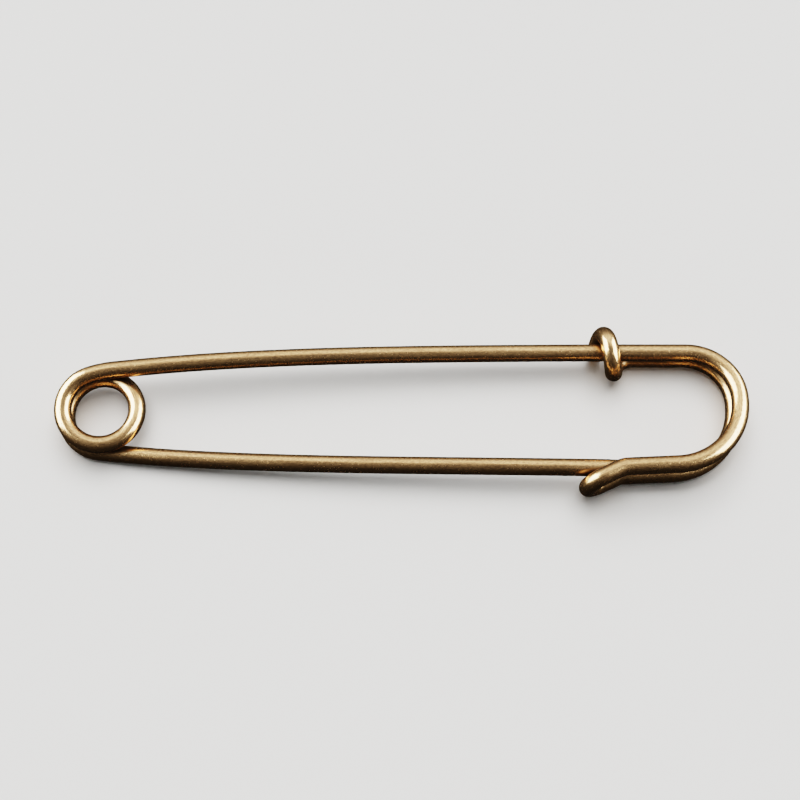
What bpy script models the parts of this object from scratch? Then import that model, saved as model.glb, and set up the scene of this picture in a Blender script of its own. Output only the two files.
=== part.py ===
"""Kilt pin: one round wire bent into a spine, a sprung coil, a needle, a bow, a catch and a collar.

The pin lies flat on its back strand and on the coil's last turn. X runs along it from the coil to
the bow, Y across it from the needle to the spine, and Z up. The frame wire is followed from the
coil along the spine, round the bow and the catch, and back behind itself to the collar. The needle
is the rest of the same wire: it is a solid of its own because it turns about the coil's axis.
"""

import math

import bpy
import numpy as np

# Wire, in metres
WIRE = 0.0020
NEEDLE_PLAY = 0.00015  # clear space on each side of the needle between the two strands
TUBE_SIDES_SETTING = 4  # bevel_resolution: 12 sides

# Coil, in metres and degrees: its turns widen a little and shift towards the bow and the needle with depth
COIL_RADIUS = 0.00405  # centre line of the front turn, where the spine leaves it
COIL_WIDENING = 0.00027  # from the front turn to where the needle leaves
COIL_LEAN_ALONG = 0.00021
COIL_LEAN_ACROSS = 0.00012
COIL_PLAY = 0.0003  # clear space between two turns
COIL_CUT_TURN = 345.0  # turn from the spine to the cut between the frame and the needle
COIL_CUT_GAP = 0.0003
COIL_STEP = 10.0  # turn between two points of the centre line

# Spine: it leaves the coil over a shoulder, flattens and sinks, and runs level into the bow
SHOULDER_LENGTH = 0.0030
SHOULDER_SLOPE = 20.0  # where the shoulder leaves the coil
SHOULDER_POINTS = 4
SPINE_REACH = 0.0574  # from the coil's axis to the level stretch
SPINE_RISE = 0.00207  # from the shoulder up to the level stretch
SPINE_SPREAD = 0.00042  # further rise, spread over the length in which the spine sinks
SPINE_START_SLOPE = 6.6
SPINE_END_SLOPE = 0.35
SPINE_LEVEL = 0.0106
LEG_POINTS = 22  # points along the spine, and along the needle

# Bow
BOW_UPPER_RADIUS = 0.00572  # centre line
BOW_STRAIGHT = 0.0003
BOW_LOWER_RADIUS = 0.0080
BOW_STEP = 7.5  # turn between two points of the centre line
BOW_CLIMB = 0.018  # length round the bow in which the front strand climbs clear of the needle

# Catch: the lower run bends down into a leg, which turns back behind itself round the needle
LOWER_RUN = 0.0057
LOWER_TILT = 2.6
CATCH_BEND_RADIUS = 0.0025
CATCH_SLOPE = 25.3
CATCH_LEG = 0.0017
CATCH_STEP = 12.0

# Collar: one turn of the back strand's end round the spine
COLLAR_PLAY = 0.0002  # clear space between the collar and the spine
COLLAR_SHIFT = 0.00016  # by which the loose collar lies towards the needle
COLLAR_PITCH = 0.0025
COLLAR_TO_BOW = 0.00615  # from where the collar has turned along the spine to the bow's start
COLLAR_TURN_IN_RADIUS = 0.0021  # bend from round the spine to along it, on the unrolled surface
COLLAR_STEP = 12.0
TURN_IN_POINTS = 7

# Needle
NEEDLE_START_SLOPE = 6.6
NEEDLE_END_SLOPE = 0.9
NEEDLE_CLIMB = 0.7  # power of the length: below 1, most of the climb between the strands is near the coil
NEEDLE_SEAT_GAP = 0.0003  # between the needle and the turned-back catch that it rests on
NEEDLE_PAST_SEAT = 0.00275  # from the seat on the catch to where the point's taper starts
NEEDLE_TAPER = 0.0032
NEEDLE_TIP = 0.00016  # diameter of the point's end
POINT_LIFT = 1.0  # share of the lost radius by which the ground point lies towards the spine
TAPER_POINTS = 7


def strand_heights():
    """Centre heights of the back strand, of the needle between the strands, and of the front."""
    back = WIRE / 2
    between = back + WIRE + NEEDLE_PLAY
    front = between + WIRE + NEEDLE_PLAY
    return back, between, front


def held_height():
    """Centre height of the spine at the collar, which holds it on the back strand."""
    return strand_heights()[0] + WIRE + COLLAR_PLAY


def leg_rise(share, length, rise, start_slope, end_slope):
    """Rise at a share of a leg that starts on one slope and ends, flatter, on another."""
    level_part = length * math.tan(math.radians(end_slope))
    curved_part = rise - level_part
    power = (length * math.tan(math.radians(start_slope)) - level_part) / curved_part
    return rise - level_part * (1 - share) - curved_part * (1 - share) ** power


def smooth(share):
    """Share of a change that starts and ends gently."""
    return share * share * (3 - 2 * share)


class Bender:
    """Bends a flat centre line: straight lengths and arcs, one after another."""

    def __init__(self, x, y, heading):
        self.points = [(x, y)]
        self.heading = heading

    def straight(self, length):
        x, y = self.points[-1]
        turned = math.radians(self.heading)
        self.points.append((x + length * math.cos(turned), y + length * math.sin(turned)))

    def arc(self, radius, turn, step):
        """Turns left by a positive turn in degrees, right by a negative one."""
        count = max(2, math.ceil(abs(turn) / step))
        chord = 2 * radius * math.sin(math.radians(abs(turn) / count) / 2)
        for _ in range(count):
            self.heading += turn / count / 2
            self.straight(chord)
            self.heading += turn / count / 2


def coil_turn():
    """Whole turn of the coil, from the spine's shoulder over its top to the needle at its bottom."""
    return 540 - SHOULDER_SLOPE - NEEDLE_START_SLOPE


def coil_top():
    """Centre height of the coil's front turn where the spine leaves it."""
    return strand_heights()[0] + (WIRE + COIL_PLAY) * coil_turn() / 360


def coil_points(first, last):
    """Helix from one turn angle to another, counted from where the shoulder leaves the coil."""
    back, _, _ = strand_heights()
    points = []
    for turn in np.linspace(first, last, math.ceil((last - first) / COIL_STEP) + 1):
        share = turn / coil_turn()
        angle = math.radians(90 + SHOULDER_SLOPE + turn)
        radius = COIL_RADIUS + COIL_WIDENING * share
        x = radius * math.cos(angle) - COIL_LEAN_ALONG * (1 - share)
        y = radius * math.sin(angle) + COIL_LEAN_ACROSS * (1 - share)
        points.append((x, y, back + (coil_top() - back) * (1 - share)))
    return points


def coil_cut():
    """Half of the cut's gap, as a turn of the coil in degrees."""
    return math.degrees(COIL_CUT_GAP / 2 / COIL_RADIUS)


def spine_points():
    """Shoulder, an arc that flattens from the coil's slope to the spine's, and then the spine.

    The spine sinks from the coil's front turn onto the back strand.
    """
    start_x, start_y, top = coil_points(0, COIL_STEP)[0]
    bender = Bender(start_x, start_y, SHOULDER_SLOPE)
    bend = math.radians(SHOULDER_SLOPE - SPINE_START_SLOPE)
    bender.arc(SHOULDER_LENGTH / bend, -math.degrees(bend), math.degrees(bend) / SHOULDER_POINTS)
    points = [(x, y, top) for x, y in bender.points[1:]]
    start_x, start_y, _ = points[-1]
    length = SPINE_REACH - start_x
    for share in np.linspace(0, 1, LEG_POINTS)[1:]:
        rise = leg_rise(share, length, SPINE_RISE, SPINE_START_SLOPE, SPINE_END_SLOPE)
        y = start_y + rise + SPINE_SPREAD * smooth(share)
        points.append((start_x + share * length, y, top + (held_height() - top) * smooth(share)))
    return points


def bent_strand(start):
    """Flat line of both strands, from the level spine round the bow to the end of the catch's leg."""
    bender = Bender(start[0], start[1], 0)
    bender.straight(SPINE_LEVEL)
    bender.arc(BOW_UPPER_RADIUS, -90, BOW_STEP)
    bender.straight(BOW_STRAIGHT)
    bender.arc(BOW_LOWER_RADIUS, LOWER_TILT - 90, BOW_STEP)
    bender.straight(LOWER_RUN)
    bender.arc(CATCH_BEND_RADIUS, CATCH_SLOPE - LOWER_TILT, CATCH_STEP)
    bender.straight(CATCH_LEG)
    return bender.points


def front_strand(flat):
    """Flat line of the strands at the front strand's heights: it climbs round the bow."""
    _, _, front = strand_heights()
    held = held_height()
    gone = 0.0
    points = []
    for before, (x, y) in zip([flat[0]] + flat, flat):
        gone += math.dist(before, (x, y))
        points.append((x, y, held + (front - held) * smooth(min(1.0, gone / BOW_CLIMB))))
    return points


def past_leg(leg_end, reach):
    """Flat place at a reach past the end of the catch's leg, in the leg's direction."""
    along = math.radians(180 + CATCH_SLOPE)
    return leg_end[0] + reach * math.cos(along), leg_end[1] + reach * math.sin(along)


def catch_turn(leg_end):
    """Half circle in depth that joins the front strand to the back one, round the needle."""
    back, between, front = strand_heights()
    radius = (front - back) / 2
    points = []
    for angle in np.radians(np.arange(CATCH_STEP, 180, CATCH_STEP)):
        x, y = past_leg(leg_end, radius * math.sin(angle))
        points.append((x, y, between + radius * math.cos(angle)))
    return points


def on_spine(x, spine_y, around):
    """Point against the spine: around, in radians, is 0 behind it and a quarter turn under it."""
    radius = WIRE + COLLAR_PLAY
    below = radius * math.sin(around) + COLLAR_SHIFT * math.sin(around) ** 2
    return x, spine_y - below, held_height() - radius * math.cos(around)


def collar_points(bow_start, spine_y):
    """Back strand's end, from close behind the spine once round it to the cut end.

    The turn round the spine is laid out on its unrolled surface: a bend from along the spine to
    round it, and then a helix.
    """
    radius = WIRE + COLLAR_PLAY
    bend_start = bow_start - COLLAR_TO_BOW
    points = [on_spine(bend_start, spine_y, 0)]
    bend = math.pi / 2 - math.atan(COLLAR_PITCH / (2 * math.pi * radius))
    for turned in np.linspace(0, bend, TURN_IN_POINTS)[1:]:
        x = bend_start - COLLAR_TURN_IN_RADIUS * math.sin(turned)
        around = COLLAR_TURN_IN_RADIUS * (1 - math.cos(turned)) / radius
        points.append(on_spine(x, spine_y, around))
    rest = 2 * math.pi - around
    for turned in np.linspace(0, rest, math.ceil(math.degrees(rest) / COLLAR_STEP) + 1)[1:]:
        points.append(on_spine(x - COLLAR_PITCH * turned / (2 * math.pi), spine_y, around + turned))
    return points


def frame_points():
    back, _, _ = strand_heights()
    coil = coil_points(0, COIL_CUT_TURN - coil_cut())
    spine = spine_points()
    strand = bent_strand(spine[-1])
    back_strand = [(x, y, back) for x, y in reversed(strand[1:])]
    catch = catch_turn(strand[-1])
    collar = collar_points(*strand[1])
    return coil[::-1] + spine + front_strand(strand[1:]) + catch + back_strand + collar


def needle_points():
    """Centre line of the needle, and at each point its diameter as a share of the wire's."""
    back, between, front = strand_heights()
    points = coil_points(COIL_CUT_TURN + coil_cut(), coil_turn())
    start_x, start_y, _ = points[-1]
    leg_end = bent_strand(spine_points()[-1])[-1]
    seat_x, catch_y = past_leg(leg_end, (front - back) / 2)
    seat_y = catch_y + WIRE + NEEDLE_SEAT_GAP
    length = seat_x - start_x
    fall = start_y - seat_y
    for share in np.linspace(0, 1, LEG_POINTS)[1:]:
        y = start_y - leg_rise(share, length, fall, NEEDLE_START_SLOPE, NEEDLE_END_SLOPE)
        height = back + (between - back) * smooth(share ** NEEDLE_CLIMB)
        points.append((start_x + share * length, y, height))
    sizes = [1.0] * len(points)
    for share in np.linspace(0, 1, TAPER_POINTS):
        past = NEEDLE_PAST_SEAT + share * NEEDLE_TAPER
        lift = POINT_LIFT * share * (WIRE - NEEDLE_TIP) / 2
        y = seat_y - past * math.tan(math.radians(NEEDLE_END_SLOPE)) + lift
        points.append((seat_x + past, y, between))
        sizes.append(1 - share * (1 - NEEDLE_TIP / WIRE))
    return points, sizes


def metal(name, colour, roughness):
    material = bpy.data.materials.new(name)
    material.use_nodes = True
    shader = material.node_tree.nodes["Principled BSDF"]
    shader.inputs["Base Color"].default_value = (*colour, 1.0)
    shader.inputs["Metallic"].default_value = 1.0
    shader.inputs["Roughness"].default_value = roughness
    return material


def bent_wire(name, points, sizes, material):
    """Round wire along a centre line, with a filled cap at each end."""
    curve = bpy.data.curves.new(name, "CURVE")
    curve.dimensions = "3D"
    curve.bevel_depth = WIRE / 2
    curve.bevel_resolution = TUBE_SIDES_SETTING
    curve.use_fill_caps = True
    spline = curve.splines.new("POLY")
    spline.points.add(len(points) - 1)
    for place, point, size in zip(spline.points, points, sizes):
        place.co = (*point, 1.0)
        place.radius = size
    spline.use_smooth = True
    curve.materials.append(material)
    return bpy.data.objects.new(name, curve)


def flat_centre(points):
    """Middle of the pin's outline in X and Y, from its centre lines."""
    flat = np.array([point[:2] for point in points])
    return (flat.min(axis=0) + flat.max(axis=0)) / 2


def build():
    for old in list(bpy.data.objects):
        bpy.data.objects.remove(old, do_unlink=True)
    collection = bpy.data.collections.new("kilt_pin")
    bpy.context.scene.collection.children.link(collection)
    frame_line = frame_points()
    needle_line, needle_sizes = needle_points()
    centre = flat_centre(frame_line + needle_line)

    coil_axis = bpy.data.objects.new("coil_axis", None)
    coil_axis.location = (-centre[0], -centre[1], 0)
    collection.objects.link(coil_axis)

    frame_metal = metal("satin_brass_frame", (0.86, 0.62, 0.35), 0.28)
    needle_metal = metal("satin_brass_needle", (0.87, 0.64, 0.37), 0.26)
    frame = bent_wire("frame_wire", frame_line, [1.0] * len(frame_line), frame_metal)
    needle = bent_wire("needle", needle_line, needle_sizes, needle_metal)
    for wire in (frame, needle):
        wire.parent = coil_axis
        collection.objects.link(wire)


build()
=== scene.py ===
import math

import bpy
import numpy as np
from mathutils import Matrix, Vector


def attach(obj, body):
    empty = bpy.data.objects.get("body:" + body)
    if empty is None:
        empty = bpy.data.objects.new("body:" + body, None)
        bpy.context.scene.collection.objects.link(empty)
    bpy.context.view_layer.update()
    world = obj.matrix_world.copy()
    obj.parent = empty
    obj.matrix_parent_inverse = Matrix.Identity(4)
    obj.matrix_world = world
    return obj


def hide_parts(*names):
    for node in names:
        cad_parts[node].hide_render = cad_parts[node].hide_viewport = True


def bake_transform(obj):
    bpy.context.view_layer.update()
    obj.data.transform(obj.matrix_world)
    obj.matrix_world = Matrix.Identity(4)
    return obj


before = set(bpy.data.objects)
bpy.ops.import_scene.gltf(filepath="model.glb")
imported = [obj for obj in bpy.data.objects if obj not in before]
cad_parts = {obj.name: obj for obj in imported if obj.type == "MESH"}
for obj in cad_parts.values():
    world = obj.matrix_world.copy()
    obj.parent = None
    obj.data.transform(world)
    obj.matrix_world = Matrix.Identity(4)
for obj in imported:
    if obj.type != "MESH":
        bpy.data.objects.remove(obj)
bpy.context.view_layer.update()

# Kilt pin: one length of drawn brass wire, bent. Its centre line repeats the CAD source's, in finer
# steps. It runs from the collar's cut end through the frame and the coil to the needle's point.
# Lengths are in metres and slopes in degrees. A share runs from 0 to 1.

# Wire
WIRE = 0.0020
NEEDLE_PLAY = 0.00015  # clear space on each side of the needle between the two strands
WIRE_SIDES = 48

# Coil
COIL_RADIUS = 0.00405  # of the centre line where the spine leaves the coil
COIL_WIDENING = 0.00027  # growth of that radius on the way to the needle
COIL_LEAN_ALONG = 0.00021  # how far the front turn lies towards -X
COIL_LEAN_ACROSS = 0.00012  # and towards +Y
COIL_PLAY = 0.0003  # gap between the turns
COIL_STEP = 2.5
COIL_AXIS = (-0.034712, -0.000049)  # where the CAD puts the coil's axis

# Spine
SHOULDER_LENGTH = 0.0030
SHOULDER_SLOPE = 20.0
SHOULDER_POINTS = 14
SPINE_REACH = 0.0574  # from the coil's axis to the level stretch
SPINE_RISE = 0.00207
SPINE_SPREAD = 0.00042  # further rise, spread gently over the whole spine
SPINE_START_SLOPE = 6.6
SPINE_END_SLOPE = 0.35
SPINE_LEVEL = 0.0106
LEG_POINTS = 240  # along the spine, and along the needle

# Bow
BOW_UPPER_RADIUS = 0.00572
BOW_STRAIGHT = 0.0003
BOW_LOWER_RADIUS = 0.0080
BOW_STEP = 2.0
BOW_CLIMB = 0.018  # length over which the front strand climbs to its full height

# Catch
LOWER_RUN = 0.0057
LOWER_TILT = 2.6
CATCH_BEND_RADIUS = 0.0025
CATCH_SLOPE = 25.3
CATCH_LEG = 0.0017
CATCH_STEP = 4.0  # degrees of a turn from point to point

# Collar
COLLAR_PLAY = 0.0002
COLLAR_SHIFT = 0.00016  # how much further the collar's sides lie towards -Y than a round wrap's
COLLAR_PITCH = 0.0025
COLLAR_TO_BOW = 0.00615
COLLAR_TURN_IN_RADIUS = 0.0021  # where the back strand turns in to the collar
COLLAR_STEP = 4.0
TURN_IN_POINTS = 14

# Needle
NEEDLE_START_SLOPE = 6.6
NEEDLE_END_SLOPE = 0.9
NEEDLE_CLIMB = 0.7  # power of the climb to the catch: under 1 it climbs sooner
NEEDLE_SEAT_GAP = 0.0003
NEEDLE_PAST_SEAT = 0.00275
PAST_SEAT_POINTS = 9
NEEDLE_TAPER = 0.0032
NEEDLE_TIP = 0.00016
POINT_LIFT = 1.0  # 0: tip on the needle's centre line, 1: level with its side towards the spine
TAPER_POINTS = 24

STRAIGHT_STEP = 0.0003  # longest step along a straight
SEAM_STEP = 0.00002  # straight stretch on each side of a seam, so that both pieces end square to it

# Crevices, where the wire faces another strand of itself: the brass paints shade into them and roughens
# them
CREVICE_LOOK = 0.0005  # how far ahead of the surface the gap is measured
CREVICE_WIDTH = 0.0010  # widest gap that is still a crevice
SAME_STRAND = 0.005  # stretch of wire that counts as the same strand

# Patterns in the finish: noise waves per metre, across, across and along the straightened wire
GRAIN_WAVES = (7000, 7000, 2600)
LINE_WAVES = (11000, 11000, 350)
PIT_WAVES = (5500, 5500, 3600)
STREAK_WAVES = (2600, 2600, 130)
TARNISH_WAVES = (300, 300, 300)  # in the object's own directions

# Levels of those patterns between which each sets in
PIT_LEVELS = (0.74, 0.82)
STREAK_LEVELS = (0.54, 0.66)
TARNISH_LEVELS = (0.40, 0.70)
# the brass is painted darker towards the down-facing side: painted shade
UPWARD_LEVELS = (-0.3, 0.5)  # of the height that the surface faces
DRAWN_SKIN_FROM = (0.00085, 0.00097)  # distance from the wire's middle: less than this is cut or ground

# Colours of the brass
DULL_BRASS = (0.58, 0.35, 0.18, 1)
BRIGHT_BRASS = (0.98, 0.62, 0.315, 1)
# colour of the tarnish, and of the painted shade where the surface faces down
TARNISH_AND_SHADE_BRASS = (0.42, 0.25, 0.12, 1)
# painted shade where the wire faces another strand
CREVICE_SHADE_COLOUR = (0.10, 0.062, 0.036, 1)
CUT_BRASS = (0.98, 0.72, 0.48, 1)
GROUND_BRASS = (0.95, 0.66, 0.38, 1)

# Share of the bright brass, and what each pattern adds to it
BRIGHT_SHARE = 0.65
GRAIN_CONTRAST = 2.8
LINE_CONTRAST = 1.4
PIT_SHADE = -0.6

# Share of the tarnish-and-shade colour that each adds, and of the painted shade in a crevice
TARNISH_SHARE = 0.22
STREAK_SHARE = 0.25
# painted shade on the sides that face down
UNDERSIDE_SHADE_SHARE = 0.55
CREVICE_SHADE_SHARE = 0.85

# Roughness, and what each pattern adds to it
SKIN_ROUGHNESS = 0.18
TARNISH_ROUGHNESS = 0.07
GRAIN_ROUGHNESS = 0.12
PIT_ROUGHNESS = 0.2
CREVICE_ROUGHNESS = 0.15
CUT_ROUGHNESS = 0.70
GROUND_ROUGHNESS = 0.22
HAZE_ROUGHNESS = 0.5
HAZE_SHARE = 0.12

# Relief
LINE_RELIEF = 0.6  # beside the grain's
RELIEF_DEPTH = 0.000005

# Camera
CAMERA_TARGET = (-0.000132, 0.000611, 0.0053)
CAMERA_ELEVATION = 72.5
CAMERA_DISTANCE = 0.1657
CAMERA_LENS = 65.2
CAMERA_SENSOR = 36.0

# Floor
FLOOR_HALF = 2.0
RIM_HALF = 2.4
RIM_HEIGHT = 0.8
FLOOR_COLOUR = (0.78, 0.77, 0.75, 1)
FLOOR_ROUGHNESS = 0.9

# Dome: tilt from straight above towards +Y, brightness
DOME = (
    (-180, 0.02), (-100, 0.02), (-60, 0.03), (-35, 0.06), (-12, 0.09), (2, 0.15), (10, 0.26),
    (17, 0.50), (25, 0.91), (32, 1.05), (45, 1.01), (58, 0.93), (68, 0.66), (78, 0.38),
    (88, 0.20), (98, 0.10), (110, 0.05), (130, 0.03), (180, 0.02),
)

# Upright panels beside the pin: name, x, corner (y, z), opposite corner (y, z), brightness
PANELS = (
    ("left_panel", -0.191, (-0.045, 0.024), (0.190, 0.300), 8.0),
    ("right_panel", 0.148, (-0.060, 0.045), (0.150, 0.240), 7.0),
)
PANEL_COLOUR = (0.93, 0.98, 1.0)

# Overhead light
OVERHEAD_STRENGTH = 3.4
OVERHEAD_SPREAD = 55
OVERHEAD_TILT = -24


def strand_heights():
    """Centre heights of the back strand, of the needle between the strands, and of the front."""
    back = WIRE / 2
    between = back + WIRE + NEEDLE_PLAY
    front = between + WIRE + NEEDLE_PLAY
    return back, between, front


def held_height():
    """Centre height of the spine at the collar, which holds it on the back strand."""
    return strand_heights()[0] + WIRE + COLLAR_PLAY


def leg_rise(share, length, rise, start_slope, end_slope):
    """Rise at a share of a leg that starts on one slope and ends, flatter, on another."""
    level_part = length * math.tan(math.radians(end_slope))
    curved_part = rise - level_part
    power = (length * math.tan(math.radians(start_slope)) - level_part) / curved_part
    return rise - level_part * (1 - share) - curved_part * (1 - share) ** power


def smooth(share):
    """Share of a change that starts and ends gently."""
    return share * share * (3 - 2 * share)


class Bender:
    """Bends a flat centre line: straight lengths and arcs, one after another."""

    def __init__(self, x, y, heading):
        self.points = [(x, y)]
        self.heading = heading

    def step(self, length):
        x, y = self.points[-1]
        turned = math.radians(self.heading)
        self.points.append((x + length * math.cos(turned), y + length * math.sin(turned)))

    def straight(self, length):
        count = math.ceil(length / STRAIGHT_STEP)
        for _ in range(count):
            self.step(length / count)

    def arc(self, radius, turn, step):
        """Turns left by a positive turn in degrees, right by a negative one."""
        count = max(2, math.ceil(abs(turn) / step))
        chord = 2 * radius * math.sin(math.radians(abs(turn) / count) / 2)
        for _ in range(count):
            self.heading += turn / count / 2
            self.step(chord)
            self.heading += turn / count / 2


def coil_turn():
    """Whole turn of the coil in degrees, from the spine's shoulder over its top to the needle."""
    return 540 - SHOULDER_SLOPE - NEEDLE_START_SLOPE


def coil_top():
    """Centre height of the coil's front turn where the spine leaves it."""
    return strand_heights()[0] + (WIRE + COIL_PLAY) * coil_turn() / 360


def coil_point(turn):
    """Point of the helix at a turn angle, counted from where the shoulder leaves the coil."""
    back, _, _ = strand_heights()
    share = turn / coil_turn()
    angle = math.radians(90 + SHOULDER_SLOPE + turn)
    radius = COIL_RADIUS + COIL_WIDENING * share
    x = radius * math.cos(angle) - COIL_LEAN_ALONG * (1 - share)
    y = radius * math.sin(angle) + COIL_LEAN_ACROSS * (1 - share)
    return x, y, back + (coil_top() - back) * (1 - share)


def coil_points():
    count = math.ceil(coil_turn() / COIL_STEP) + 1
    return [coil_point(turn) for turn in np.linspace(0, coil_turn(), count)]


def spine_points():
    """Shoulder, an arc that flattens from the coil's slope to the spine's, and then the spine.

    The spine sinks from the coil's front turn until it lies on the back strand.
    """
    start_x, start_y, top = coil_point(0)
    bender = Bender(start_x, start_y, SHOULDER_SLOPE)
    bend = math.radians(SHOULDER_SLOPE - SPINE_START_SLOPE)
    bender.arc(SHOULDER_LENGTH / bend, -math.degrees(bend), math.degrees(bend) / SHOULDER_POINTS)
    points = [(x, y, top) for x, y in bender.points[1:]]
    start_x, start_y, _ = points[-1]
    length = SPINE_REACH - start_x
    for share in np.linspace(0, 1, LEG_POINTS)[1:]:
        rise = leg_rise(share, length, SPINE_RISE, SPINE_START_SLOPE, SPINE_END_SLOPE)
        y = start_y + rise + SPINE_SPREAD * smooth(share)
        points.append((start_x + share * length, y, top + (held_height() - top) * smooth(share)))
    return points


def bent_strand(start):
    """Flat line of both strands, from the level spine round the bow to the end of the catch's leg.

    Returns the points and the number of them on the level stretch before the bow.
    """
    bender = Bender(start[0], start[1], 0)
    bender.straight(SPINE_LEVEL)
    level = len(bender.points)
    bender.arc(BOW_UPPER_RADIUS, -90, BOW_STEP)
    bender.straight(BOW_STRAIGHT)
    bender.arc(BOW_LOWER_RADIUS, LOWER_TILT - 90, BOW_STEP)
    bender.straight(LOWER_RUN)
    bender.arc(CATCH_BEND_RADIUS, CATCH_SLOPE - LOWER_TILT, CATCH_STEP)
    bender.straight(CATCH_LEG)
    return bender.points, level


def front_strand(flat):
    """Flat line of the strands at the front strand's heights: it climbs round the bow."""
    _, _, front = strand_heights()
    held = held_height()
    gone = 0.0
    points = []
    for before, (x, y) in zip([flat[0]] + flat, flat):
        gone += math.dist(before, (x, y))
        points.append((x, y, held + (front - held) * smooth(min(1.0, gone / BOW_CLIMB))))
    return points


def past_leg(leg_end, reach):
    """Flat place at a reach past the end of the catch's leg, in the leg's direction."""
    along = math.radians(180 + CATCH_SLOPE)
    return leg_end[0] + reach * math.cos(along), leg_end[1] + reach * math.sin(along)


def catch_turn(leg_end):
    """Half circle that turns down from the front strand to the back one, round the needle."""
    back, between, front = strand_heights()
    radius = (front - back) / 2
    points = []
    for angle in np.radians(np.arange(CATCH_STEP, 180, CATCH_STEP)):
        x, y = past_leg(leg_end, radius * math.sin(angle))
        points.append((x, y, between + radius * math.cos(angle)))
    return points


def on_spine(x, spine_y, around):
    """Point against the spine: around, in radians, is 0 behind it and a quarter turn under it."""
    radius = WIRE + COLLAR_PLAY
    below = radius * math.sin(around) + COLLAR_SHIFT * math.sin(around) ** 2
    return x, spine_y - below, held_height() - radius * math.cos(around)


def collar_points(bow_start, spine_y):
    """The back strand's end: from behind the spine once round it, to the cut end."""
    radius = WIRE + COLLAR_PLAY
    bend_start = bow_start - COLLAR_TO_BOW
    points = [on_spine(bend_start, spine_y, 0)]
    bend = math.pi / 2 - math.atan(COLLAR_PITCH / (2 * math.pi * radius))
    for turned in np.linspace(0, bend, TURN_IN_POINTS)[1:]:
        x = bend_start - COLLAR_TURN_IN_RADIUS * math.sin(turned)
        around = COLLAR_TURN_IN_RADIUS * (1 - math.cos(turned)) / radius
        points.append(on_spine(x, spine_y, around))
    rest = 2 * math.pi - around
    count = math.ceil(math.degrees(rest) / COLLAR_STEP) + 1
    for turned in np.linspace(0, rest, count)[1:]:
        points.append(on_spine(x - COLLAR_PITCH * turned / (2 * math.pi), spine_y, around + turned))
    return points


def needle_points():
    """Centre line of the needle past the coil, and its share of the wire's diameter at each point."""
    back, between, front = strand_heights()
    start_x, start_y, _ = coil_point(coil_turn())
    leg_end = bent_strand(spine_points()[-1])[0][-1]
    seat_x, catch_y = past_leg(leg_end, (front - back) / 2)
    seat_y = catch_y + WIRE + NEEDLE_SEAT_GAP
    length = seat_x - start_x
    fall = start_y - seat_y
    points = []
    for share in np.linspace(0, 1, LEG_POINTS)[1:]:
        y = start_y - leg_rise(share, length, fall, NEEDLE_START_SLOPE, NEEDLE_END_SLOPE)
        height = back + (between - back) * smooth(share ** NEEDLE_CLIMB)
        points.append((start_x + share * length, y, height))
    sizes = [1.0] * len(points)
    slope = math.tan(math.radians(NEEDLE_END_SLOPE))
    for past in np.linspace(0, NEEDLE_PAST_SEAT, PAST_SEAT_POINTS)[1:-1]:
        points.append((seat_x + past, seat_y - past * slope, between))
        sizes.append(1.0)
    for share in np.linspace(0, 1, TAPER_POINTS):
        past = NEEDLE_PAST_SEAT + share * NEEDLE_TAPER
        lift = POINT_LIFT * share * (WIRE - NEEDLE_TIP) / 2
        points.append((seat_x + past, seat_y - past * slope + lift, between))
        sizes.append(1 - share * (1 - NEEDLE_TIP / WIRE))
    return points, sizes


def whole_wire():
    """The whole wire from the collar's cut end to the needle's point.

    Returns its centre line, its share of the full diameter at each point, the lengths along it, and the
    lengths at which its pieces start and end.
    """
    back, _, _ = strand_heights()
    spine = spine_points()
    strand, level = bent_strand(spine[-1])
    start = strand[level - 1]
    held = [(x, y, held_height()) for x, y in strand[1:level - 1]]
    reach = start[0] - COLLAR_TO_BOW
    back_strand = [(x, y, back) for x, y in strand[1:] if x > reach + STRAIGHT_STEP / 2 or y < 0]
    frame_line = collar_points(*start)[::-1] + back_strand
    frame_line += catch_turn(strand[-1])[::-1]
    frame_line += (spine + held + front_strand(strand[level - 1:]))[::-1]
    coil = coil_points()
    needle, sizes = needle_points()
    points = np.array(frame_line + coil + needle) + (*COIL_AXIS, 0)
    shares = np.array([1.0] * (len(frame_line) + len(coil)) + sizes)
    coil_start, needle_start = len(frame_line), len(frame_line) + len(coil)
    for seam in (coil_start, needle_start):
        before, here, after = points[seam - 1:seam + 2]
        along = (here - before) / math.dist(here, before) + (after - here) / math.dist(after, here)
        step = along * (SEAM_STEP / np.linalg.norm(along))
        points = np.concatenate([points[:seam], [here - step, here + step], points[seam + 1:]])
        shares = np.insert(shares, seam, shares[seam])
    lengths = np.concatenate([[0], np.cumsum(np.linalg.norm(np.diff(points, axis=0), axis=1))])
    seams = [lengths[seam] + SEAM_STEP for seam in (coil_start, needle_start)]
    return points, shares, lengths, (0.0, *seams, lengths[-1])


def wire_curve(name, points, shares):
    """Curve along the wire's centre line, whose radius is a share of the wire's."""
    curve = bpy.data.curves.new(name, "CURVE")
    curve.dimensions = "3D"
    spline = curve.splines.new("POLY")
    spline.points.add(len(points) - 1)
    for place, point, share in zip(spline.points, points, shares):
        place.co = (*point, 1.0)
        place.radius = share
    return curve


class NodeTree:
    """Adds nodes to a tree: a node's settings first, then its sockets' values or links."""

    def __init__(self, tree):
        self.tree = tree

    def node(self, kind, settings=None, values=None):
        node = self.tree.nodes.new(kind)
        for name, value in (settings or {}).items():
            setattr(node, name, value)
        for name, value in (values or {}).items():
            socket = node.inputs[name]
            if isinstance(value, Socket):
                self.tree.links.new(value.output, socket)
            elif isinstance(value, bpy.types.NodeSocket):
                self.tree.links.new(value, socket)
            else:
                socket.default_value = value
        return node

    def out(self, kind, settings=None, values=None, output=0):
        """The same, for a node of which one output is used."""
        return Socket(self, self.node(kind, settings, values).outputs[output])


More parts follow.
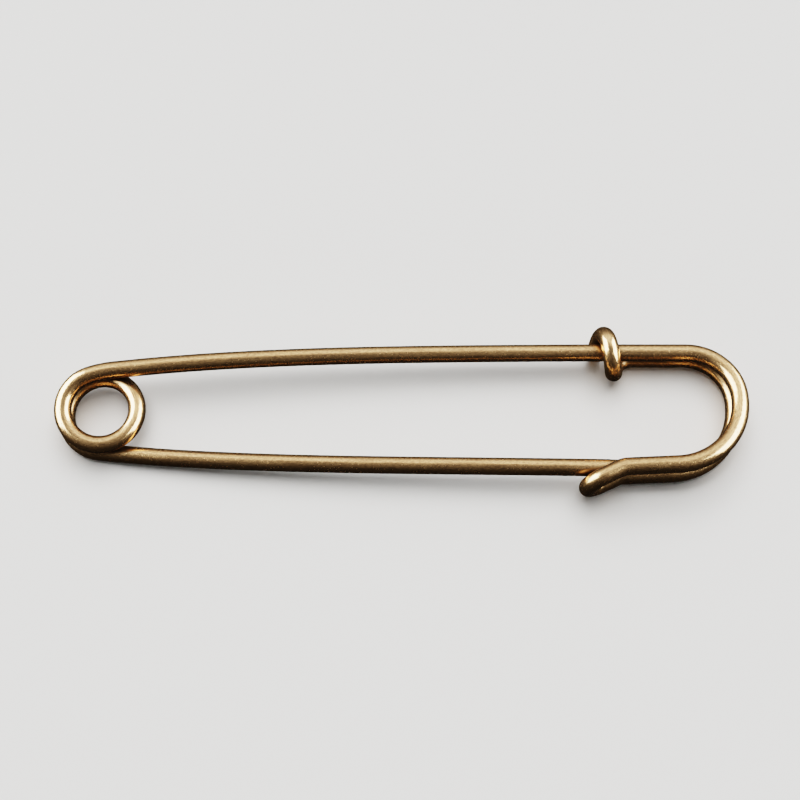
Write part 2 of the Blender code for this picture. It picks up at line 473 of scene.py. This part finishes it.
class Socket:
    """Output of a node. Arithmetic on it adds Math nodes to its tree."""

    def __init__(self, owner, output):
        self.owner = owner
        self.output = output

    def maths(self, operation, first, second):
        return self.owner.out("ShaderNodeMath", {"operation": operation}, {0: first, 1: second})

    def __add__(self, other):
        return self.maths("ADD", self, other)

    __radd__ = __add__

    def __sub__(self, other):
        return self.maths("SUBTRACT", self, other)

    def __rsub__(self, other):
        return self.maths("SUBTRACT", other, self)

    def __mul__(self, other):
        return self.maths("MULTIPLY", self, other)

    __rmul__ = __mul__

    def between(self, low, high):
        """Share of the way from one value to another, kept within 0 and 1."""
        settings = {"interpolation_type": "SMOOTHSTEP"}
        return self.owner.out("ShaderNodeMapRange", settings, {0: self, 1: low, 2: high})


def wire_sweep_tree():
    """Sweeps a round section along part of a curve.

    It stores each point's place on the wire as if that were straight: across, across and along.
    """
    group = bpy.data.node_groups.new("wire_sweep", "GeometryNodeTree")
    group.is_modifier = True
    sockets = group.interface
    sockets.new_socket("Geometry", in_out="OUTPUT", socket_type="NodeSocketGeometry")
    sockets.new_socket("Centre line", in_out="INPUT", socket_type="NodeSocketGeometry")
    for name, kind in (
        ("Wire diameter", "NodeSocketFloat"),
        ("Sides", "NodeSocketInt"),
        ("From", "NodeSocketFloat"),
        ("To", "NodeSocketFloat"),
        ("Finish", "NodeSocketMaterial"),
    ):
        sockets.new_socket(name, in_out="INPUT", socket_type=kind)
    tree = NodeTree(group)
    given = tree.node("NodeGroupInput").outputs

    capture = tree.node("GeometryNodeCaptureAttribute", {"domain": "POINT"})
    for name in ("centre", "side", "heading"):
        capture.capture_items.new("VECTOR", name)
    capture.capture_items.new("FLOAT", "along")
    links = group.links
    links.new(given["Centre line"], capture.inputs["Geometry"])
    links.new(tree.node("GeometryNodeInputPosition").outputs[0], capture.inputs["centre"])
    links.new(tree.node("GeometryNodeInputNormal").outputs[0], capture.inputs["side"])
    links.new(tree.node("GeometryNodeInputTangent").outputs[0], capture.inputs["heading"])
    links.new(tree.node("GeometryNodeSplineParameter").outputs["Length"], capture.inputs["along"])
    kept = capture.outputs

    part = tree.node(
        "GeometryNodeTrimCurve",
        {"mode": "LENGTH"},
        {0: kept["Geometry"], 4: given["From"], 5: given["To"]},
    )
    section = tree.node(
        "GeometryNodeCurvePrimitiveCircle",
        {"mode": "RADIUS"},
        {"Resolution": given["Sides"], "Radius": Socket(tree, given["Wire diameter"]) * 0.5},
    )
    share = tree.node("GeometryNodeInputRadius")
    sweep = tree.node(
        "GeometryNodeCurveToMesh",
        None,
        {
            "Curve": part.outputs[0],
            "Profile Curve": section.outputs[0],
            "Scale": share.outputs[0],
            "Fill Caps": True,
        },
    )

    def vector_maths(operation, first, second, output=0):
        settings = {"operation": operation}
        return tree.out("ShaderNodeVectorMath", settings, {0: first, 1: second}, output)

    position = tree.node("GeometryNodeInputPosition").outputs[0]
    out = vector_maths("SUBTRACT", position, kept["centre"])
    up = vector_maths("CROSS_PRODUCT", kept["heading"], kept["side"])
    straight = tree.out(
        "ShaderNodeCombineXYZ",
        None,
        {
            "X": vector_maths("DOT_PRODUCT", out, kept["side"], "Value"),
            "Y": vector_maths("DOT_PRODUCT", out, up, "Value"),
            "Z": kept["along"],
        },
    )
    stored = tree.node(
        "GeometryNodeStoreNamedAttribute",
        {"data_type": "FLOAT_VECTOR", "domain": "POINT"},
        {"Geometry": sweep.outputs[0], "Name": "straight", "Value": straight},
    )
    real = tree.node("GeometryNodeRealizeInstances", None, {"Geometry": stored.outputs[0]})
    finished = tree.node(
        "GeometryNodeSetMaterial", None, {"Geometry": real.outputs[0], "Material": given["Finish"]}
    )
    links.new(finished.outputs[0], tree.node("NodeGroupOutput").inputs[0])
    return group


def swept_wire(name, curve, sweep, start, end, finish):
    """Plain mesh of the wire between two lengths along it, with flat ends."""
    guide = bpy.data.objects.new(name + "_guide", curve)
    bpy.context.scene.collection.objects.link(guide)
    modifier = guide.modifiers.new("sweep", "NODES")
    modifier.node_group = sweep
    values = {
        "Wire diameter": WIRE, "Sides": WIRE_SIDES, "From": start, "To": end, "Finish": finish,
    }
    for socket in sweep.interface.items_tree:
        if socket.in_out == "INPUT" and socket.name in values:
            modifier[socket.identifier] = values[socket.name]
    guide.update_tag()
    bpy.context.view_layer.update()
    evaluated = guide.evaluated_get(bpy.context.evaluated_depsgraph_get())
    mesh = bpy.data.meshes.new_from_object(evaluated)
    mesh.name = name
    bpy.data.objects.remove(guide)
    edges = {edge.vertices[:]: edge for edge in mesh.edges}
    for cap in (face for face in mesh.polygons if len(face.vertices) == WIRE_SIDES):
        cap.use_smooth = False
        for key in cap.edge_keys:
            edges[key if key in edges else key[::-1]].use_edge_sharp = True
    piece = bpy.data.objects.new(name, mesh)
    bpy.context.scene.collection.objects.link(piece)
    return piece


def mark_crevices(piece, points, lengths):
    """Stores how near each point of a piece faces another strand: 0 clear of it, 1 against it, for
    painted shade and roughness.
    """
    mesh = piece.data
    count = len(mesh.vertices)
    places, straight = np.empty(count * 3), np.empty(count * 3)
    mesh.vertices.foreach_get("co", places)
    mesh.attributes["straight"].data.foreach_get("vector", straight)
    places = places.reshape(-1, 3)
    along = straight.reshape(-1, 3)[:, 2]
    centres = np.stack([np.interp(along, lengths, points[:, axis]) for axis in range(3)], axis=1)
    outward = places - centres
    ahead = places + CREVICE_LOOK * outward / np.linalg.norm(outward, axis=1, keepdims=True)
    gaps = np.full(count, np.inf)
    for point, length in zip(points, lengths):
        gap = np.linalg.norm(ahead - point, axis=1) - WIRE / 2
        gaps = np.where(np.abs(along - length) > SAME_STRAND, np.minimum(gaps, gap), gaps)
    crevice = mesh.attributes.new("crevice", "FLOAT", "POINT")
    crevice.data.foreach_set("value", np.clip(1 - gaps / CREVICE_WIDTH, 0, 1))


def brass(name, ground_colour, ground_roughness):
    """Drawn brass wire: satin, with fine lengthwise lines and pits, and with painted shade in its
    crevices and on its undersides.

    Where the wire is cut or ground, inside its drawn skin, it has its own colour and roughness.
    """
    material = bpy.data.materials.new(name)
    material.use_nodes = True
    tree = NodeTree(material.node_tree)
    straight = tree.out("ShaderNodeAttribute", {"attribute_name": "straight"}, output=1)
    crevice = tree.out("ShaderNodeAttribute", {"attribute_name": "crevice"}, output=2)

    def scaled(vector, factors):
        return tree.out("ShaderNodeVectorMath", {"operation": "MULTIPLY"}, {0: vector, 1: factors})

    def noise(place, waves, detail):
        values = {"Vector": scaled(place, waves), "Scale": 1.0, "Detail": detail}
        return tree.out("ShaderNodeTexNoise", None, values)

    def mixed(first, second, share):
        return tree.out("ShaderNodeMix", {"data_type": "RGBA"}, {0: share, 6: first, 7: second}, 2)

    grain = noise(straight, GRAIN_WAVES, 2.0)
    lines = noise(straight, LINE_WAVES, 1.0)
    pits = noise(straight, PIT_WAVES, 0.0).between(*PIT_LEVELS)
    facing = tree.out("ShaderNodeSeparateXYZ", None, {0: tree.out("ShaderNodeTexCoord", output=1)}, 2)
    # painted shade: darker where the surface faces down
    underside_shade = 1 - facing.between(*UPWARD_LEVELS)
    whole = tree.out("ShaderNodeTexCoord", output=3)
    tarnish = noise(whole, TARNISH_WAVES, 3.0).between(*TARNISH_LEVELS)
    streaks = noise(straight, STREAK_WAVES, 1.0).between(*STREAK_LEVELS)

    across = scaled(straight, (1, 1, 0))
    from_middle = tree.out("ShaderNodeVectorMath", {"operation": "LENGTH"}, {0: across}, 1)
    ground = 1 - from_middle.between(*DRAWN_SKIN_FROM)

    light = (
        BRIGHT_SHARE + (grain - 0.5) * GRAIN_CONTRAST + (lines - 0.5) * LINE_CONTRAST + pits * PIT_SHADE
    )
    # tarnish and streaks, and painted shade on the undersides
    dark = tarnish * TARNISH_SHARE + streaks * STREAK_SHARE + underside_shade * UNDERSIDE_SHADE_SHARE
    colour = mixed(DULL_BRASS, BRIGHT_BRASS, light)
    colour = mixed(colour, TARNISH_AND_SHADE_BRASS, dark)
    # painted shade in the crevices
    colour = mixed(colour, CREVICE_SHADE_COLOUR, crevice.between(0.0, 1.0) * CREVICE_SHADE_SHARE)
    colour = mixed(colour, ground_colour, ground)
    roughness = SKIN_ROUGHNESS + tarnish * TARNISH_ROUGHNESS + (grain - 0.5) * GRAIN_ROUGHNESS
    roughness = roughness + pits * PIT_ROUGHNESS + crevice * CREVICE_ROUGHNESS
    roughness = roughness + ground * (ground_roughness - roughness)
    relief = {"Height": grain + lines * LINE_RELIEF, "Distance": RELIEF_DEPTH}
    bump = tree.out("ShaderNodeBump", None, relief)

    polished = material.node_tree.nodes["Principled BSDF"]
    polished.inputs["Metallic"].default_value = 1.0
    links = material.node_tree.links
    links.new(colour.output, polished.inputs["Base Color"])
    links.new(roughness.output, polished.inputs["Roughness"])
    links.new(bump.output, polished.inputs["Normal"])
    hazy = tree.out(
        "ShaderNodeBsdfPrincipled",
        None,
        {"Base Color": colour, "Metallic": 1.0, "Roughness": HAZE_ROUGHNESS, "Normal": bump},
    )
    shades = {0: HAZE_SHARE, 1: polished.outputs[0], 2: hazy}
    skin = tree.out("ShaderNodeMixShader", None, shades)
    links.new(skin.output, material.node_tree.nodes["Material Output"].inputs["Surface"])
    return material


def upright_panel(name, x, low, high, brightness):
    """Upright rectangular light beside the pin, between two opposite corners, that faces it.

    It shows in the metal and leaves the floor to the overhead light.
    """
    data = bpy.data.lights.new(name, "AREA")
    data.shape = "RECTANGLE"
    data.size, data.size_y = high[0] - low[0], high[1] - low[1]
    data.energy = brightness * math.pi * data.size * data.size_y
    light = bpy.data.objects.new(name, data)
    light.location = (x, (low[0] + high[0]) / 2, (low[1] + high[1]) / 2)
    light.rotation_euler = (math.pi / 2, 0, math.copysign(math.pi / 2, x))
    data.color = PANEL_COLOUR
    light.visible_camera = False
    light.visible_diffuse = False
    bpy.context.scene.collection.objects.link(light)


def soft_dome():
    """World light: brightest behind and above the pin, and dark low down in front of it."""
    world = bpy.data.worlds.new("soft_dome")
    world.use_nodes = True
    tree = NodeTree(world.node_tree)
    coordinates = tree.out("ShaderNodeTexCoord", output="Generated")
    direction = tree.node("ShaderNodeSeparateXYZ", None, {0: coordinates})
    back, up = (Socket(tree, direction.outputs[axis]) for axis in ("Y", "Z"))
    tilt = back.maths("ARCTAN2", back, up)
    share = tilt * (0.5 / math.pi) + 0.5
    curve = tree.node("ShaderNodeFloatCurve", None, {"Factor": 1.0, "Value": share})
    line = curve.mapping.curves[0]
    highest = max(level for _, level in DOME)
    for point, (tilted, level) in zip((line.points[0], line.points[1]), (DOME[0], DOME[-1])):
        point.location = tilted / 360 + 0.5, level / highest
    for tilted, level in DOME[1:-1]:
        line.points.new(tilted / 360 + 0.5, level / highest)
    curve.mapping.update()
    level = Socket(tree, curve.outputs[0]) * highest
    background = world.node_tree.nodes["Background"]
    background.inputs["Color"].default_value = (1, 1, 1, 1)
    world.node_tree.links.new(level.output, background.inputs["Strength"])
    bpy.context.scene.world = world


def floor_light():
    """Broad overhead light for the floor and the pin's soft shadow."""
    data = bpy.data.lights.new("overhead_light", "SUN")
    data.energy = OVERHEAD_STRENGTH
    data.angle = math.radians(OVERHEAD_SPREAD)
    light = bpy.data.objects.new("overhead_light", data)
    light.rotation_euler = (math.radians(OVERHEAD_TILT), 0, 0)
    light.visible_glossy = False
    bpy.context.scene.collection.objects.link(light)


def pale_floor():
    """Level floor whose far edges rise, so that low views see no end to it.

    It doesn't show in the metal, whose lower side is dark.
    """
    corners = ((-1, -1), (1, -1), (1, 1), (-1, 1))
    level = [(x * FLOOR_HALF, y * FLOOR_HALF, 0) for x, y in corners]
    raised = [(x * RIM_HALF, y * RIM_HALF, RIM_HEIGHT) for x, y in corners]
    rim = [(i + 4, (i + 1) % 4 + 4, (i + 1) % 4, i) for i in range(4)]
    mesh = bpy.data.meshes.new("floor")
    mesh.from_pydata(level + raised, [], [(0, 1, 2, 3), *rim])
    floor = bpy.data.objects.new("floor", mesh)
    bpy.context.scene.collection.objects.link(floor)
    paper = bpy.data.materials.new("pale_paper")
    paper.use_nodes = True
    shader = paper.node_tree.nodes["Principled BSDF"]
    shader.inputs["Base Color"].default_value = FLOOR_COLOUR
    shader.inputs["Roughness"].default_value = FLOOR_ROUGHNESS
    mesh.materials.append(paper)
    floor.visible_glossy = False


def place_camera():
    data = bpy.data.cameras.new("camera")
    data.sensor_width = CAMERA_SENSOR
    data.lens = CAMERA_LENS
    data.clip_start = 0.01
    camera = bpy.data.objects.new("camera", data)
    elevation = math.radians(CAMERA_ELEVATION)
    back = Vector((0, -math.cos(elevation), math.sin(elevation)))
    camera.location = Vector(CAMERA_TARGET) + CAMERA_DISTANCE * back
    camera.rotation_euler = (math.pi / 2 - elevation, 0, 0)
    bpy.context.scene.collection.objects.link(camera)
    bpy.context.scene.camera = camera


def studio():
    settings = bpy.context.scene.view_settings
    settings.view_transform = "Filmic"
    settings.look = "High Contrast"
    pale_floor()
    soft_dome()
    floor_light()
    for panel in PANELS:
        upright_panel(*panel)
    place_camera()


def make_pin():
    points, shares, lengths, marks = whole_wire()
    curve = wire_curve("centre_line", points, shares)
    sweep = wire_sweep_tree()
    frame_brass = brass("frame_brass", CUT_BRASS, CUT_ROUGHNESS)
    needle_brass = brass("needle_brass", GROUND_BRASS, GROUND_ROUGHNESS)

    frame_wire = swept_wire("bent_frame", curve, sweep, marks[0], marks[1], frame_brass)
    coil = swept_wire("sprung_coil", curve, sweep, marks[1], marks[2], frame_brass)
    needle = swept_wire("pointed_needle", curve, sweep, marks[2], marks[3], needle_brass)
    for piece in (frame_wire, coil, needle):
        mark_crevices(piece, points, lengths)

    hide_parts("frame_wire")
    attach(frame_wire, "frame")

    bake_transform(coil)

    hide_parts("needle")
    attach(needle, "needle")


make_pin()
studio()
